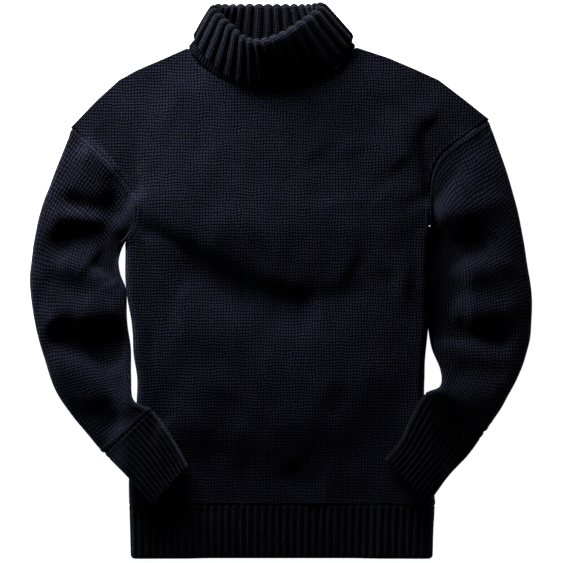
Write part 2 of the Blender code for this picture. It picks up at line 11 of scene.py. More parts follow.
import bpy
import numpy as np
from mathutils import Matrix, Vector

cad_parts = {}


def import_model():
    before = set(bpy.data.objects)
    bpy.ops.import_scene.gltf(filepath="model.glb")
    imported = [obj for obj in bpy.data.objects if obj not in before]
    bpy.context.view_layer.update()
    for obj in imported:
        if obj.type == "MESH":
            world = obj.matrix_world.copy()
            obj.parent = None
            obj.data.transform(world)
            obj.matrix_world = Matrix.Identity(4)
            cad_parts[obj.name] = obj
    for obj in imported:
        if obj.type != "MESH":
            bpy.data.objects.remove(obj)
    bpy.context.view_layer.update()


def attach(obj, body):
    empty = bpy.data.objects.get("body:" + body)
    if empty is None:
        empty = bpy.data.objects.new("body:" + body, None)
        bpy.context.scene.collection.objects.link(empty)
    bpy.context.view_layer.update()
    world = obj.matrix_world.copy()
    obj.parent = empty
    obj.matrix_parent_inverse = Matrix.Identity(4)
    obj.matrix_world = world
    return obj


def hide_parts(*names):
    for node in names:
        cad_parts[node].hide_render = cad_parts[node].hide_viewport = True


MM = 0.001

# Cloth, as in the solids
WALL = 4.2
LAYER_GAP = 0.5
SEAM_GAP = 0.4
STACK = 2 * WALL + LAYER_GAP
LOOSE_STACK = STACK + 2.9
LYING_GAP = 1.2

# The garment as it lies, as in the solids. A pair is where a smooth change starts and ends
THINNEST = STACK + 0.3
SHOULDER_EDGE_HEIGHT = STACK + 0.5
SHOULDER_SLOPE_WIDTH = 60.0
NECK_LINE_Y = 328.0
TUCKED_FLOOR = 2 * STACK + 0.6
SIDE_BLEND = (10.0, 90.0)
TUCK_SLOPE = (8.0, 78.0)
CALM_SIDE = (11.0, 32.0)
UNDERARM_BLEND = (50.0, 95.0)
FLOOR_SOFTNESS = 1.0
WELT_TOP, WELT_BOTTOM = -314.0, -388.0
WELT_RIBS = 40
COLLAR_RIBS = 32
CUFF_RIBS = 10
SLEEVE_CROWN = 8.0
CUFF_CROWN_SHARE = 0.25
CUFF_BLEND = (-20.0, 10.0)
EDGE_CALM_SHARE = 0.125
SETTLE_LENGTH = 55.0
SEAM_SPREAD = 0.12
RAMP_WIDTH = 45.0
FOLD_END_FADE = 0.22

# The body by height up the picture: side edges, heights of its top face and width tucked under. Below the
# underarm at the right of the picture, its edge lies a little nearer the sleeve than in the solids
BodyRow = namedtuple("BodyRow", "y left_x right_x middle side tuck")
BODY_ROWS = (
    BodyRow(-389, -211.0, 213.0, 13.5, 19.2, 62),
    BodyRow(-350, -212.0, 214.0, 16.0, 19.8, 62),
    BodyRow(-314, -213.0, 215.6, 17.0, 20.4, 60),
    BodyRow(-279, -214.0, 212.5, 17.5, 21.0, 58),
    BodyRow(-230, -209.5, 208.0, 18.5, 21.0, 55),
    BodyRow(-170, -203.0, 202.0, 20.0, 21.0, 52),
    BodyRow(-138, -202.0, 201.6, 21.5, 21.0, 50),
    BodyRow(-97, -207.0, 203.5, 21.5, 21.0, 46),
    BodyRow(-55, -210.0, 207.3, 21.0, 21.0, 42),
    BodyRow(-27, -215.2, 206.0, 21.5, 21.0, 38),
    BodyRow(0, -218.3, 206.5, 22.5, 21.0, 34),
    BodyRow(43, -219.6, 208.2, 24.0, 21.0, 28),
    BodyRow(76, -220.4, 210.0, 25.0, 20.5, 20),
    BodyRow(110, -220.4, 207.4, 23.5, 18.5, 20),
    BodyRow(170, -220.4, 207.4, 19.0, 14.0, 20),
    BodyRow(230, -220.4, 207.4, 15.0, 9.8, 20),
    BodyRow(280, -220.4, 207.4, 12.5, 9.6, 20),
    BodyRow(330, -220.4, 207.4, 10.0, 9.4, 20),
)
BODY_Y = np.array([row.y for row in BODY_ROWS], float)

# Armhole seams from the underarm to the shoulder tip, and the top edge from tip to tip
LEFT_SEAM = (
    (-223.2, 53.2), (-211.4, 68.6), (-202.4, 92.4), (-204.4, 113.4), (-219.8, 138.6),
    (-238.0, 161.0), (-264.6, 187.6), (-294.0, 215.6),
)
RIGHT_SEAM = (
    (208.8, 76.0), (209.2, 100.0), (210.0, 127.4), (214.0, 155.4), (225.0, 176.4),
    (242.0, 191.8), (264.6, 207.0), (291.0, 226.8),
)
NECK_LEFT, NECK_RIGHT = -131.6, 106.0
TOP_EDGE = (
    (-294.0, 215.6), (-257.6, 253.4), (-226.8, 281.4), (-201.6, 295.4), (-162.4, 312.2),
    (NECK_LEFT, 326.0), (-114.8, 301.0), (-88.2, 285.6), (-60.0, 273.0), (-28.0, 264.4),
    (6.0, 264.4), (47.6, 278.6), (79.8, 301.0), (NECK_RIGHT, 327.0), (151.2, 312.2),
    (190.4, 295.4), (221.2, 281.4), (257.6, 253.4), (291.0, 226.8),
)
NECK_SEAM = tuple(point for point in TOP_EDGE if NECK_LEFT <= point[0] <= NECK_RIGHT)
BACK_NECK = ((NECK_LEFT, 326.0), (-80.0, 314.0), (-12.0, 309.0), (56.0, 314.0), (NECK_RIGHT, 327.0))

# Folds. Height is at the middle of the route, and left and right widths lie either side of it. The main
# folds are those of the solids
Fold = namedtuple("Fold", "route height left_width right_width")
MAIN_FOLDS = (
    Fold(((-196, 88), (-144, 44), (-102, 18), (-57, -10), (-26, -21), (27, -31), (83, -27),
          (139, -6), (186, 32)), -10.0, 15, 30),
    Fold(((-190, -95), (-90, -105), (20, -112), (120, -105), (190, -90)), 3.0, 45, 55),
    Fold(((-262, 214), (-235, 192), (-221, 169), (-214, 143), (-203, 112)), -6.5, 13, 13),
    Fold(((252, 246), (232, 224), (214, 206), (206, 182), (211, 158), (216, 127), (210, 90)), -7.0, 14, 14),
    Fold(((228, 216), (230, 180), (226, 138)), -5.0, 17, 17),
    Fold(((-306, 114), (-264, 104), (-222, 104)), -4.5, 10, 10),
    Fold(((-330, 44), (-298, 62), (-225, 74)), -7.0, 11, 13),
    Fold(((-322, 30), (-270, 14), (-224, -6)), 4.0, 12, 12),
    Fold(((-262, 34), (-240, 14), (-228, -2)), -6.0, 12, 12),
    Fold(((-326, -56), (-275, -90), (-218, -120)), -9.0, 15, 17),
    Fold(((-244, -186), (-205, -206), (-168, -214)), -4.0, 10, 10),
    Fold(((300, 60), (255, 40), (206, 10)), -8.0, 13, 14),
    Fold(((232, -70), (280, -82), (328, -95)), -5.5, 10, 10),
    Fold(((230, 12), (226, -40), (228, -90)), -4.0, 15, 15),
    Fold(((288, -208), (245, -190), (204, -160)), -4.0, 10, 10),
)
BODY_FOLDS = (
    Fold(((-226, 92), (-183, 66), (-134, 36), (-92, 14), (-50, -8), (-10, -22)), -5.0, 12, 24),
    Fold(((24, -34), (70, -34), (112, -22), (148, 2), (190, 36)), 7.5, 18, 30),
    Fold(((40, 182), (62, 150), (70, 104)), -2.6, 20, 22),
    Fold(((96, 188), (116, 150), (150, 122)), -2.2, 18, 24),
    Fold(((160, 170), (184, 144), (202, 100)), -4.0, 14, 18),
    Fold(((92, 26), (130, 8), (172, 4)), -3.2, 14, 18),
    Fold(((-190, 30), (-165, 4), (-128, -14)), -2.4, 10, 15),
    Fold(((-120, 96), (-62, 78), (8, 66), (70, 74)), 2.4, 24, 30),
    Fold(((-160, 236), (-120, 214), (-96, 176)), -1.4, 15, 18),
    Fold(((150, 262), (132, 226), (128, 188)), -1.8, 14, 18),
    Fold(((-158, -60), (-100, -72), (-44, -66)), 2.2, 18, 20),
    Fold(((60, -150), (96, -178), (104, -226), (92, -270)), -2.4, 18, 20),
    Fold(((-70, -150), (-84, -200), (-78, -262)), -1.8, 18, 24),
    Fold(((-180, -184), (-60, -200), (40, -192), (170, -180)), 6.0, 44, 38),
    Fold(((-176, -250), (-110, -262), (-20, -266)), -3.0, 22, 24),
    Fold(((10, -250), (34, -276), (66, -282)), -2.6, 13, 18),
    Fold(((-150, -282), (-128, -300), (-112, -344)), -2.4, 14, 18),
    Fold(((172, -214), (158, -262), (164, -308)), -2.0, 15, 18),
    Fold(((-200, -150), (-176, -172), (-158, -204)), -3.0, 10, 14),
)
LEFT_OF_PICTURE_FOLDS = (
    Fold(((-296, 182), (-262, 170), (-230, 142)), 2.2, 9, 9),
    Fold(((-280, 200), (-258, 178), (-241, 150), (-226, 112)), 4.5, 8, 16),
    Fold(((-260, 218), (-236, 192), (-221, 166), (-212, 138), (-198, 104)), -5.0, 14, 9),
    Fold(((-318, 120), (-284, 106), (-236, 94), (-208, 92)), -5.0, 9, 11),
    Fold(((-330, 86), (-290, 92), (-240, 84)), 4.5, 12, 9),
    Fold(((-344, 28), (-312, 44), (-268, 52), (-226, 52), (-180, 48)), -5.5, 12, 20),
    Fold(((-266, 40), (-240, 24), (-196, 10)), -6.0, 18, 20),
    Fold(((-336, 8), (-300, -6), (-262, -30)), -2.6, 10, 12),
    Fold(((-346, -58), (-300, -52), (-250, -44), (-196, -40)), 5.0, 18, 12),
    Fold(((-336, -88), (-296, -88), (-246, -80), (-176, -76)), -4.5, 10, 18),
    Fold(((-280, -96), (-240, -98), (-170, -96)), -6.0, 22, 28),
    Fold(((-340, -104), (-276, -122), (-212, -136)), 5.0, 14, 26),
    Fold(((-300, -176), (-262, -184), (-214, -180)), -4.0, 14, 16),
    Fold(((-292, -168), (-254, -166), (-216, -158)), 2.4, 10, 12),
    Fold(((-254, -214), (-222, -198), (-182, -176)), -4.5, 9, 12),
)
RIGHT_OF_PICTURE_FOLDS = (
    Fold(((282, 216), (252, 202), (232, 180)), 2.4, 9, 10),
    Fold(((222, 226), (216, 196), (224, 158), (238, 124)), -5.5, 11, 16),
    Fold(((230, 254), (206, 224), (194, 186), (195, 140), (196, 92)), 6.0, 9, 30),
    Fold(((318, 120), (282, 104), (240, 96), (206, 90)), 4.0, 12, 14),
    Fold(((322, 66), (276, 52), (226, 46), (176, 44)), -5.5, 12, 18),
    Fold(((214, 108), (224, 50), (226, -20), (214, -98)), -4.5, 14, 20),
    Fold(((334, 26), (292, 16), (250, 8)), 3.5, 12, 12),
    Fold(((262, -2), (236, -22), (204, -26)), -5.5, 12, 16),
    Fold(((344, -40), (300, -40), (252, -46), (214, -56)), 4.5, 16, 12),
    Fold(((340, -84), (288, -76), (236, -72), (176, -76)), -5.5, 10, 16),
    Fold(((270, -54), (240, -52), (186, -52)), -5.0, 18, 18),
    Fold(((322, -130), (284, -128), (240, -126)), -2.4, 9, 11),
    Fold(((308, -168), (270, -158), (236, -146)), 2.2, 10, 12),
    Fold(((206, -66), (204, -84), (206, -104)), -3.0, 8, 10),
)
FOLDS = MAIN_FOLDS + BODY_FOLDS + LEFT_OF_PICTURE_FOLDS + RIGHT_OF_PICTURE_FOLDS
ROUTE_STEPS = 24

# Slow unevenness of washed wool: waves to the millimetre along X and Y, where each starts, and its height
Wave = namedtuple("Wave", "in_x in_y start height")
UNEVEN_WAVES = (
    Wave(0.0071, 0.0043, 0.3, 0.34), Wave(-0.0052, 0.0094, 1.9, 0.30), Wave(0.0131, -0.0062, 4.1, 0.22),
    Wave(0.0063, 0.0172, 2.6, 0.18), Wave(-0.0212, 0.0083, 5.3, 0.14), Wave(0.0173, 0.0241, 0.9, 0.11),
)

# Sleeves: outer and inner edge of each section from armhole to cuff end. The last four rows are the cuff.
# A sleeve climbs onto the body between the two stations that its climb names. At the right of the picture,
# its inner edge lies a little nearer the body than in the solids
SleeveRow = namedtuple("SleeveRow", "outer inner")
SLEEVE_LEFT_OF_PICTURE = (
    SleeveRow((-294.0, 215.6), (-223.2, 53.2)),
    SleeveRow((-320.6, 141.4), (-225.4, 26.6)),
    SleeveRow((-341.6, 85.4), (-224.6, 8.4)),
    SleeveRow((-352.6, 8.4), (-217.2, -15.4)),
    SleeveRow((-348.6, -43.4), (-217.4, -47.6)),
    SleeveRow((-331.8, -110.6), (-211.6, -89.6)),
    SleeveRow((-312.2, -162.4), (-209.4, -135.8)),
    SleeveRow((-277.2, -208.6), (-203.0, -168.0)),
    SleeveRow((-249.2, -242.2), (-180.6, -179.2)),
    SleeveRow((-218.4, -270.2), (-158.2, -207.2)),
    SleeveRow((-197.4, -292.6), (-141.4, -235.2)),
    SleeveRow((-179.2, -313.6), (-128.8, -259.0)),
)
SLEEVE_RIGHT_OF_PICTURE = (
    SleeveRow((291.0, 226.8), (208.8, 76.0)),
    SleeveRow((310.8, 169.4), (202.4, 43.4)),
    SleeveRow((329.0, 113.4), (205.6, 12.6)),
    SleeveRow((344.6, 38.0), (206.4, -26.0)),
    SleeveRow((352.4, -34.0), (206.6, -66.0)),
    SleeveRow((350.0, -82.6), (212.0, -93.8)),
    SleeveRow((336.0, -128.8), (224.0, -124.6)),
    SleeveRow((313.6, -172.2), (222.6, -147.0)),
    SleeveRow((287.0, -212.8), (200.2, -156.8)),
    SleeveRow((261.8, -247.8), (180.6, -189.0)),
    SleeveRow((231.0, -278.6), (165.2, -222.6)),
    SleeveRow((207.2, -309.4), (144.2, -247.8)),
)
CLIMB_LEFT_OF_PICTURE, CLIMB_RIGHT_OF_PICTURE = (5.0, 6.8), (6.0, 7.6)
SleevePath = namedtuple("SleevePath", "inner outer lengths seam climb side")
SEAM_PROBE = 0.01
BOW_POWER = 1.5
CUFF_FIRST_ROW = 8
CUFF_RIB_SPAN = (0.09, 0.91)

# Collar stations round the neck: seam point, top of the roll, free edge, radius of the roll and the
# direction, in degrees from the outward horizontal, in which the turned-down layer lies off the stand.
# The roll is fuller and higher than the solid's
CollarRow = namedtuple("CollarRow", "seam ridge free_edge roll lean")
COLLAR_ROWS = (
    CollarRow((-14.0, 265.6, 11.2), (-29.0, 334.0, 40.0), (-18.0, 273.5, 16.6), 6.2, 90),
    CollarRow((-52.0, 272.5, 11.0), (-52.0, 338.5, 39.0), (-57.0, 277.5, 16.4), 6.2, 78),
    CollarRow((-86.0, 288.2, 10.4), (-71.0, 356.5, 35.0), (-93.0, 301.0, 16.4), 6.0, 58),
    CollarRow((-127.6, 329.5, 7.6), (-90.0, 382.0, 24.0), (-121.4, 343.0, 12.0), 5.4, 0),
    CollarRow((-80.0, 317.6, 3.4), (-66.0, 386.0, 13.0), (-84.0, 334.0, 2.6), 4.4, -70),
    CollarRow((-12.0, 310.6, 3.2), (-12.6, 386.4, 11.0), (-12.0, 332.0, 2.6), 4.2, -80),
    CollarRow((56.0, 317.6, 3.4), (36.0, 386.0, 13.0), (62.0, 334.0, 2.6), 4.4, -70),
    CollarRow((102.4, 330.6, 7.6), (54.0, 384.5, 24.0), (99.5, 343.5, 12.0), 5.4, 0),
    CollarRow((56.4, 287.0, 10.4), (27.0, 360.0, 35.0), (70.0, 304.0, 16.4), 6.0, 58),
    CollarRow((22.0, 271.0, 11.0), (-1.0, 342.5, 39.0), (27.0, 284.0, 16.4), 6.2, 78),
)
STAND_STEPS, ROLL_STEPS, TURNOVER_STEPS = 14, 12, 16
STATIONS_ROUND_JOIN = 3
NECK_MIDDLE_X = -12.0

# Below this height, a face that looks down more than this rests on the floor and has no ribs
PLAIN_BELOW_HEIGHT, PLAIN_BELOW_SLOPE = 3.2, -0.5

# Fineness of the meshes: spacing of rows and columns, and how they close up towards a seam
SPACING = 3.1
BACK_SPACING = 5.2
BACK_NECK_ROWS = 12
SEAM_OFFSETS = (0.0, 0.8, 1.8, 3.0, 4.4, 6.2, 8.4)
BEND_COLUMNS, TUCK_COLUMNS = 10, 8
WELT_SPACING = 3.6
COLUMNS_A_RIB = 10
WELT_SIDE_COLUMNS = (3 * COLUMNS_A_RIB, 4 * COLUMNS_A_RIB)
SLEEVE_TOP_COLUMNS, SLEEVE_UNDER_COLUMNS = 56, 30
CUFF_SPACING = 3.4
CUFF_COLUMNS = 110
EDGE_INSETS = (0.0, 0.25, 0.9, 2.0, 3.6, 5.7, 8.2)
RIM_PUSH = 1.3
TINY = 1e-9

# Ribs and seams in relief. Shares are of the depth or height that the front welt's ribs and most seams have
RIB_DEPTH = 2.0
RIB_ROUNDNESS = 0.75
COLLAR_RIB_SHARE, COLLAR_RIB_PROUD = 1.6, 0.8
CUFF_RIB_SHARE = 0.8
BACK_RIB_SHARE = 0.6
WELT_SEAM_SHARE = 0.4
UNDERARM_CALM_SHARE = 0.06
SEAM_ROLL, SEAM_ROLL_WIDTH = 1.3, 1.6
SEAM_RIDGE, SEAM_RIDGE_PLACE, SEAM_RIDGE_WIDTH = 0.3, 4.4, 1.9
SEAM_LINE, SEAM_LINE_PLACE, SEAM_LINE_WIDTH = 0.5, 8.0, 1.4

# Knit: width of a wale and height of a course. Knit coordinates are counted in wales and courses
PLAIN_WALE, PLAIN_COURSE = 4.03, 4.2
WALES_A_RIB = 4
RIB_COURSE = 3.6
KNIT_MAP = "knit"

# Stitches: how far they stray, in stitches, and their shape. Reliefs are in metres
PLAIN_STRAY, RIB_STRAY = 0.35, 0.12
STITCH_SLANT = 0.22
WALE_ROUNDNESS = 1.8
NOTCH_DEPTH, NOTCH_SHARPNESS = 0.35, 9.0
COURSE_WAVE = 0.25
STITCH_RELIEF = 0.0017
FIBRE_RELIEF = 0.0003

# Wool: colours, painted shade between stitches and between ribs, and its mottling and loose pale hairs
# The colour of the painted shade between stitches and between ribs
PAINTED_SHADE_NAVY = (0.0004, 0.0004, 0.0010, 1.0)
NAVY = (0.0300, 0.0290, 0.0660, 1.0)
NAVY_COLLAR = (0.0300, 0.0290, 0.0560, 1.0)
# The welt and cuffs' colour is a darker copy of the wool: painted shade for the hem, far from the light
NAVY_WELT_PAINTED_SHADE = (0.0095, 0.0105, 0.0215, 1.0)
# Strength of the painted shade between stitches and between ribs
STITCH_PAINTED_SHADE = 2.8
RIB_PAINTED_SHADE = 1.3
MOTTLING = (0.7, 1.3)
HAIR_PALENESS = (0.0, 0.25)
ROUGHNESS = (0.86, 0.98)
SPECULAR = 0.05
SHEEN, SHEEN_ROUGHNESS = 0.08, 0.42
SHEEN_TINT = (0.55, 0.55, 0.9, 1.0)

# Noise over the wool: scale, detail and roughness, and the span of values in which most of it lies
Noise = namedtuple("Noise", "scale detail roughness")
STRAY_NOISE = Noise(45, 2, 0.5)
FIBRE_NOISE = Noise(1400, 3, 0.65)
MOTTLE_NOISE = Noise(26, 4, 0.6)
HAIR_NOISE = Noise(420, 2, 0.5)
MOST_NOISE = (0.3, 0.7)
HIGHEST_NOISE = (0.6, 0.75)

# Record for the flat size of a piece as cut or knitted, in metres, and its flat area in square metres
Cut = namedtuple("Cut", "width length area")

# Camera straight above the garment, and the width of the surface that it sees
CAMERA_HEIGHT = 2.6
SEEN_WIDTH = 0.7882
SEEN_HEIGHT = 0.017
CAMERA_X, CAMERA_Y = 0.0007, -0.0007
SENSOR_WIDTH = 36.0
CAMERA_REACH = 100.0

# White paper under the garment, a dim sky, and lights low beyond the collar and at the left of the picture
FLOOR_REACH, FLOOR_DROP = 6.0, 0.0004
PAPER, PAPER_ROUGHNESS, PAPER_GLOW = (0.9, 0.9, 0.9, 1.0), 0.95, 1.0
WHITE = (1.0, 1.0, 1.0, 1.0)
SKY, SKY_STRENGTH = (0.93, 0.96, 1.0, 1.0), 0.03
Light = namedtuple("Light", "name place width height power colour")
LIGHTS = (
    Light("key", (-0.42, 1.02, 0.235), 0.7, 0.34, 37, (1.0, 0.99, 0.98)),
    Light("rim", (-1.4, 0.62, 0.14), 0.5, 0.2, 7, (0.62, 0.78, 1.0)),
)
LIT_PLACE = (0.0, 0.0, 0.02)


def ease(value, start, end):
    """A smooth step from 0 at start to 1 at end."""
    t = np.clip((value - start) / (end - start), 0.0, 1.0)
    return t * t * (3 - 2 * t)


def mix(first, second, share):
    return first + (second - first) * share


def bump(value, middle, width):
    return np.exp(-(((value - middle) / width) ** 2))


def smooth_table(knots, values, at):
    """A smooth curve through a table's rows, held at its end rows."""
    knots = np.asarray(knots, float)
    values = np.asarray(values, float)
    at = np.clip(np.asarray(at, float), knots[0], knots[-1])
    slopes = np.gradient(values, knots, axis=0)
    i = np.clip(np.searchsorted(knots, at, side="right") - 1, 0, len(knots) - 2)
    step = knots[i + 1] - knots[i]
    t = (at - knots[i]) / step
    if values.ndim > 1:
        step, t = step[..., None], t[..., None]
    rise = t * t * (3 - 2 * t)
    bend = t * (1 - t) ** 2 * slopes[i] + t * t * (t - 1) * slopes[i + 1]
    return mix(values[i], values[i + 1], rise) + step * bend


def chord_lengths(points):
    steps = np.linalg.norm(np.diff(np.asarray(points, float), axis=0), axis=1)
    return np.concatenate([[0.0], np.cumsum(steps)])


def route_at(points, share):
    """Points on the smooth route through a list of points, by share of its length."""
    lengths = chord_lengths(points)
    return smooth_table(lengths, points, np.asarray(share) * lengths[-1])


def body_value(column, y):
    return smooth_table(BODY_Y, [getattr(row, column) for row in BODY_ROWS], y)


def top_edge_y(x):
    xs, ys = np.array(TOP_EDGE).T
    return np.interp(x, xs, ys)


def near_route(route, x, y):
    """Distance to a route over the plan, whether a point is on its left, and the share of it passed."""
    route = route_at(route, np.linspace(0, 1, ROUTE_STEPS + 1))
    start, run = route[:-1], np.diff(route, axis=0)
    dx = x[..., None] - start[:, 0]
    dy = y[..., None] - start[:, 1]
    along = np.clip((dx * run[:, 0] + dy * run[:, 1]) / (run**2).sum(axis=1), 0, 1)
    off_x = dx - along * run[:, 0]
    off_y = dy - along * run[:, 1]
    distance = np.hypot(off_x, off_y)
    nearest = distance.argmin(axis=-1)[..., None]
    is_left = np.take_along_axis(run[:, 0] * off_y - run[:, 1] * off_x, nearest, -1)[..., 0] > 0
    share = (nearest[..., 0] + np.take_along_axis(along, nearest, -1)[..., 0]) / ROUTE_STEPS
    return np.take_along_axis(distance, nearest, -1)[..., 0], is_left, share


def fold_height(fold, x, y):
    """How far one fold lifts the cloth at points of the plan. A trough has a negative height."""
    distance, is_left, share = near_route(fold.route, x, y)
    width = np.where(is_left, fold.left_width, fold.right_width)
    fade = ease(share, 0, FOLD_END_FADE) * ease(1 - share, 0, FOLD_END_FADE)
    return fold.height * fade * np.exp(-0.5 * (distance / width) ** 2)


def folds_height(x, y):
    return sum(fold_height(fold, x, y) for fold in FOLDS)


def unevenness(x, y):
    return sum(
        wave.height * np.sin(2 * np.pi * (wave.in_x * x + wave.in_y * y) + wave.start)
        for wave in UNEVEN_WAVES
    )


def soft_floor(height, floor):
    """The height, kept smoothly above a floor."""
    return floor + FLOOR_SOFTNESS * np.logaddexp(0.0, (height - floor) / FLOOR_SOFTNESS)


def body_top(x, y):
    """Height of the body's top face over a point of the plan."""
    inside = np.minimum(x - body_value("left_x", y), body_value("right_x", y) - x)
    height = mix(body_value("side", y), body_value("middle", y), ease(inside, *SIDE_BLEND))
    below_underarm = 1 - ease(y, *UNDERARM_BLEND)
    over_tuck = below_underarm * (1 - ease(inside - body_value("tuck", y), *TUCK_SLOPE))
    at_bend = below_underarm * (1 - ease(inside, *CALM_SIDE))
    floor = mix(THINNEST, TUCKED_FLOOR, over_tuck)
    height = soft_floor(height + (1 - at_bend) * folds_height(x, y), floor)
    height = mix(height, body_value("side", y), at_bend)
    over_neck = (x > NECK_LEFT) & (x < NECK_RIGHT)
    shoulder = np.where(over_neck, NECK_LINE_Y, top_edge_y(x))
    return mix(SHOULDER_EDGE_HEIGHT, height, ease(shoulder - y, 0, SHOULDER_SLOPE_WIDTH))


def seam_relief(distance):
    """Height of the cloth beside a linked seam: it rolls down at the edge, then a ridge and a fine line."""
    roll = -SEAM_ROLL * bump(distance, 0, SEAM_ROLL_WIDTH)
    ridge = SEAM_RIDGE * bump(distance, SEAM_RIDGE_PLACE, SEAM_RIDGE_WIDTH)
    return roll + ridge - SEAM_LINE * bump(distance, SEAM_LINE_PLACE, SEAM_LINE_WIDTH)


def edge_roll(distance):
    return -SEAM_ROLL * bump(distance, 0, SEAM_ROLL_WIDTH)


def rib_groove(phase):
    """How far the cloth is cut in between ribs. A groove lies at each whole phase."""
    return RIB_DEPTH * (1 - np.abs(np.sin(np.pi * phase)) ** RIB_ROUNDNESS)


def closing_up(length, spacing, at_start, at_end):
    """Shares of a length, evenly spaced but closer together towards a seam."""
    offsets = np.array(SEAM_OFFSETS)
    first = offsets if at_start else offsets[:1]
    last = length - (offsets if at_end else offsets[:1])[::-1]
    count = max(2, round((last[0] - first[-1]) / spacing))
    return np.concatenate([first[:-1], np.linspace(first[-1], last[0], count + 1), last[1:]]) / length


def share_across(x):
    """Share of the way from one shoulder tip to the other."""
    return (x - TOP_EDGE[0][0]) / (TOP_EDGE[-1][0] - TOP_EDGE[0][0])


def body_shares(spacing):
    """Column places from side to side, with a column on each neck point."""
    left_tip, right_tip = TOP_EDGE[0][0], TOP_EDGE[-1][0]
    neck_left, neck_right = share_across(NECK_LEFT), share_across(NECK_RIGHT)
    neck_columns = round((NECK_RIGHT - NECK_LEFT) / spacing)
    return np.concatenate([
        neck_left * closing_up(NECK_LEFT - left_tip, spacing, True, False)[:-1],
        np.linspace(neck_left, neck_right, neck_columns + 1),
        mix(neck_right, 1, closing_up(right_tip - NECK_RIGHT, spacing, False, True))[1:],
    ])


def wrapped_side(edge_x, y, bend, tuck, depth, outward, columns):
    """The bend and the tuck beyond one end of crosswise rows, going outwards, and the way along the cloth."""
    bends, tucks = columns
    angle = np.linspace(0, np.pi, bends + 1)[1:]
    edge_x, y, bend, tuck = (value[:, None] for value in (edge_x, y, bend, tuck))
    radius = bend - depth[:, :bends]
    run = np.linspace(0, 1, tucks + 1)[1:]
    x = np.hstack([edge_x + outward * radius * np.sin(angle), edge_x - outward * (tuck - bend) * run])
    z = np.hstack([bend + radius * np.cos(angle), depth[:, bends:]])
    way = np.hstack([bend * angle, bend * np.pi + (tuck - bend) * run])
    points = np.stack([x, np.broadcast_to(y, x.shape), z], axis=-1)
    return points, edge_x + outward * way


def wrapped_rows(y_left, y_right, shares, depth_at, columns):
    """Crosswise rows round the body below the underarms, and the way across and along their knit.

    The depth below the outer face comes from a function of plan position and of the way across the knit.
    """
    left_x, right_x = body_value("left_x", y_left), body_value("right_x", y_right)
    left_bend, right_bend = body_value("side", y_left) / 2, body_value("side", y_right) / 2
    top_left, top_right = left_x + left_bend, right_x - right_bend
    x = mix(top_left[:, None], top_right[:, None], shares)
    y = mix(y_left[:, None], y_right[:, None], shares)
    zero = np.zeros((len(y_left), sum(columns)))

    def side(edge_x, edge_y, bend, column, outward):
        tuck = body_value(column, edge_y)
        _, across = wrapped_side(edge_x, edge_y, bend, tuck, zero, outward, columns)
        edge = np.broadcast_to(edge_x[:, None], across.shape)
        depth = depth_at(edge, np.broadcast_to(edge_y[:, None], across.shape), across)
        return wrapped_side(edge_x, edge_y, bend, tuck, depth, outward, columns)

    left, left_across = side(top_left, y_left, left_bend, "tuck", -1)
    right, right_across = side(top_right, y_right, right_bend, "tuck", 1)
    top = np.stack([x, y, body_top(x, y) - depth_at(x, y, x)], axis=-1)
    points = np.concatenate([left[:, ::-1], top, right], axis=1)
    across = np.hstack([left_across[:, ::-1], x, right_across])
    return points, np.stack([across, points[..., 1]], axis=-1)


def armhole_rows(steps, shares, depth_at):
    """Crosswise rows between the armhole seams, bowed upwards to the shoulders and the neck."""
    left = route_at(LEFT_SEAM, steps)
    right = route_at(RIGHT_SEAM, steps)
    tip_left, tip_right = TOP_EDGE[0], TOP_EDGE[-1]
    edge_rise = top_edge_y(mix(tip_left[0], tip_right[0], shares)) - mix(tip_left[1], tip_right[1], shares)
    x = mix(left[:, :1], right[:, :1], shares)
    y = mix(left[:, 1:], right[:, 1:], shares) + steps[:, None] ** BOW_POWER * edge_rise
    return np.stack([x, y, body_top(x, y) - depth_at(x, y, x)], axis=-1)


def back_neck_rows(edge, is_neck, depth_at):
    """Rows from the line of the front's neck seam up to the higher neck line of the back."""
    xs, ys = np.array(BACK_NECK).T
    x = edge[:, 0]
    rows = []
    for step in np.linspace(0, 1, BACK_NECK_ROWS + 1)[1:]:
        y = np.where(is_neck, mix(edge[:, 1], smooth_table(xs, ys, x), step), edge[:, 1])
        rows.append(np.stack([x, y, body_top(x, y) - depth_at(x, y, x)], axis=-1))
    return np.array(rows)


def body_face(spacing, depth_at, with_back_neck):
    """All rows of a body panel from welt to top edge, its knit coordinates and which cells are cloth."""
    shares = body_shares(spacing)
    columns = (BEND_COLUMNS, TUCK_COLUMNS)
    side = sum(columns)
    start = WELT_TOP + SEAM_GAP / 2
    up = closing_up(LEFT_SEAM[0][1] - start, spacing, True, False)
    y_left, y_right = mix(start, LEFT_SEAM[0][1], up), mix(start, RIGHT_SEAM[0][1], up)
    wrapped, knit = wrapped_rows(y_left, y_right, shares, depth_at, columns)
    steps = closing_up(chord_lengths(LEFT_SEAM)[-1], spacing, False, True)[1:]
    between = armhole_rows(steps, shares, depth_at)
    is_neck = (shares > share_across(NECK_LEFT) - TINY) & (shares < share_across(NECK_RIGHT) + TINY)
    if with_back_neck:
        between = np.concatenate([between, back_neck_rows(between[-1], is_neck, depth_at)])
    padded = np.pad(between, ((0, 0), (side, side), (0, 0)), mode="edge")
    points = np.concatenate([wrapped, padded])
    knit = np.concatenate([knit, padded[..., :2]]) / (PLAIN_WALE, PLAIN_COURSE)
    cells = np.ones((len(points) - 1, points.shape[1] - 1), bool)
    first_between = len(wrapped) - 1
    cells[first_between:, :side] = False
    cells[first_between:, -side:] = False
    if with_back_neck:
        cells[-BACK_NECK_ROWS:, side:-side] = is_neck[1:] & is_neck[:-1]
    return points, knit, cells


